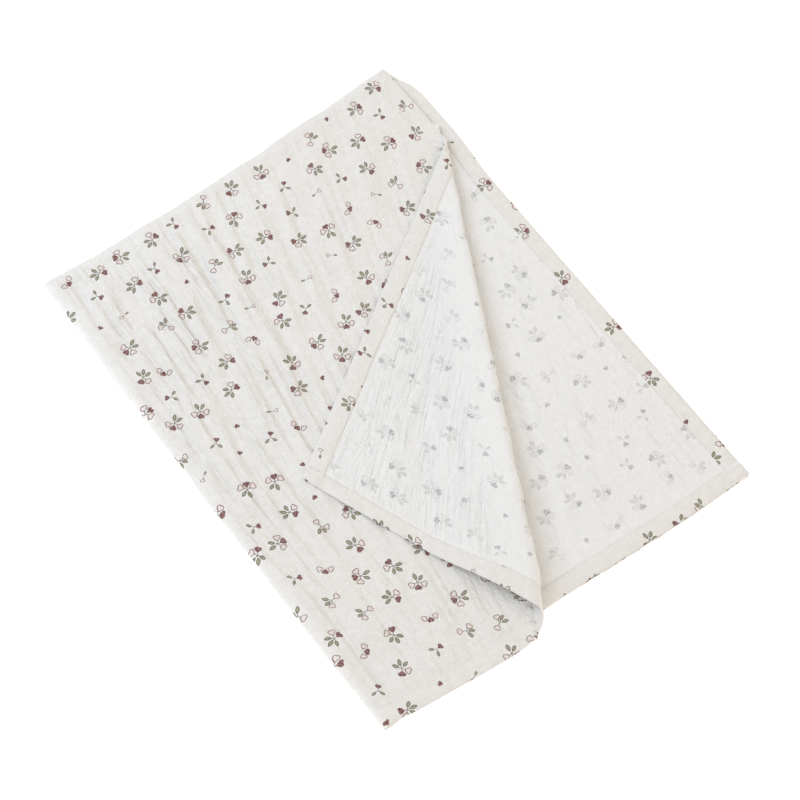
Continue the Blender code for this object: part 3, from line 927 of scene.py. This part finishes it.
def gauze(name, ground, softness, through):
    """The gauze with its print as seen on one face."""
    material, tree, output = new_material(name)
    point = flat_millimetres(tree)
    colour = gauze_colour(tree, point, ground, softness, through)
    height = gauze_relief(tree, point)
    bump = add_node(tree, "ShaderNodeBump", {"Strength": 0.8, "Distance": RELIEF, "Height": height})
    shader = add_node(tree, "ShaderNodeBsdfPrincipled", {
        "Base Color": colour, "Roughness": 0.92, "Specular IOR Level": 0.25, "Sheen Weight": 0.12,
        "Sheen Roughness": 0.6, "Normal": bump.outputs[0]})
    tree.links.new(shader.outputs[0], output.inputs["Surface"])
    return material


printed_gauze = gauze("printed_cotton_gauze", ("EFEEEA", "F8F8F5"), 0.25, False)
plain_gauze = gauze("cotton_gauze_wrong_side", ("F5F7F6", "FCFDFD"), 1.0, True)
blanket = finished_object("swaddle_blanket", bm, [printed_gauze, plain_gauze])
corners = np.empty(len(blanket.data.loops), np.int32)
blanket.data.loops.foreach_get("vertex_index", corners)
flat_cloth = blanket.data.uv_layers.new(name="flat_cloth")
flat_cloth.data.foreach_set("uv", np.stack([across, along], axis=1)[corners].ravel())
crease_run = blanket.data.uv_layers.new(name="crease_run")
run_places = np.stack([crease_place(across, along), along], axis=1)
crease_run.data.foreach_set("uv", run_places[corners].ravel())
crease_height = blanket.data.uv_layers.new(name="crease_height")
heights = crinkled(hemmed(across, FOLDED_WIDTH), hemmed(along, FOLDED_LENGTH))
drawn = crinkle_drawn(across, along)
crease_height.data.foreach_set("uv", np.stack([heights, drawn], axis=1)[corners].ravel())
wall = blanket.modifiers.new("cloth thickness", "SOLIDIFY")
wall.thickness = CLOTH_THICKNESS
wall.offset = 0
wall.material_offset = 1
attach(blanket, "root")
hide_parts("blanket")


# ---------------------------------------------------------------- hem stitching
# One line of white sewing thread all round, just inside the turned edge of the hem, which holds the hem down.
# It shows as a row of short stitches on both faces of the cloth.

STITCH_LENGTH = 0.0030
STITCH_PITCH = 0.0040
STITCH_WIDTH = 0.00050
STITCH_HEIGHT = 0.00022


def stitch_rows():
    """The middle of each stitch on the flat cloth, with 1 where its row runs along and 0 where across."""
    rows = []
    for side in (-1, 1):
        for upright in (0, 1):
            line, end = ((FOLDED_LENGTH, FOLDED_WIDTH), (FOLDED_WIDTH, FOLDED_LENGTH))[upright]
            places = np.arange(-end + STITCH_INSET, end - STITCH_INSET, STITCH_PITCH)
            fixed = np.full_like(places, side * (line - STITCH_INSET))
            pair = (fixed, places) if upright else (places, fixed)
            rows += [(place[0], place[1], upright) for place in zip(*pair)]
    return np.array(rows)


rows = stitch_rows()
step = STITCH_LENGTH / 2 * np.stack([1 - rows[:, 2], rows[:, 2]], axis=1)
bm = bmesh.new()
for face in (1, -1):
    depth = CLOTH_THICKNESS / 2
    if face < 0:
        depth += 2 * HEM_RADIUS * float(pressed(STITCH_INSET))
    ends = []
    for way in (-1, 1):
        across_place, along_place = (rows[:, :2] + way * step).T
        out = crinkled(across_place, along_place) + seam(across_place, along_place) + face * depth
        normal = printed_face(across_place, along_place)
        ends.append(folded_place(across_place, along_place) + normal * out[:, None] + np.array(CORNER))
    for start, end, outward in zip(*ends, normal * face):
        way = Vector(end - start)
        aside = Vector(outward).cross(way).normalized()
        turn = Matrix((way.normalized(), aside, way.normalized().cross(aside))).transposed().to_4x4()
        size = Matrix.Diagonal((way.length / 2, STITCH_WIDTH / 2, STITCH_HEIGHT, 1))
        place = Matrix.Translation(Vector((start + end) / 2))
        bmesh.ops.create_icosphere(bm, subdivisions=1, radius=1, matrix=place @ turn @ size)

# Spun polyester-cotton sewing thread: white, a little smoother and brighter than the cloth.
thread, tree, output = new_material("white_sewing_thread")
place = add_node(tree, "ShaderNodeTexCoord")
twist = add_node(tree, "ShaderNodeTexWave", {
    "Vector": place.outputs["Object"], "Scale": 1400.0, "Distortion": 1.0})
bump = add_node(tree, "ShaderNodeBump", {"Strength": 0.3, "Distance": 0.0001, "Height": twist.outputs["Fac"]})
shader = add_node(tree, "ShaderNodeBsdfPrincipled", {
    "Base Color": linear("EFEBE4"), "Roughness": 0.7, "Sheen Weight": 0.1, "Normal": bump.outputs[0]})
tree.links.new(shader.outputs[0], output.inputs["Surface"])
stitching = finished_object("hem_stitching", bm, [thread])
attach(stitching, "root")
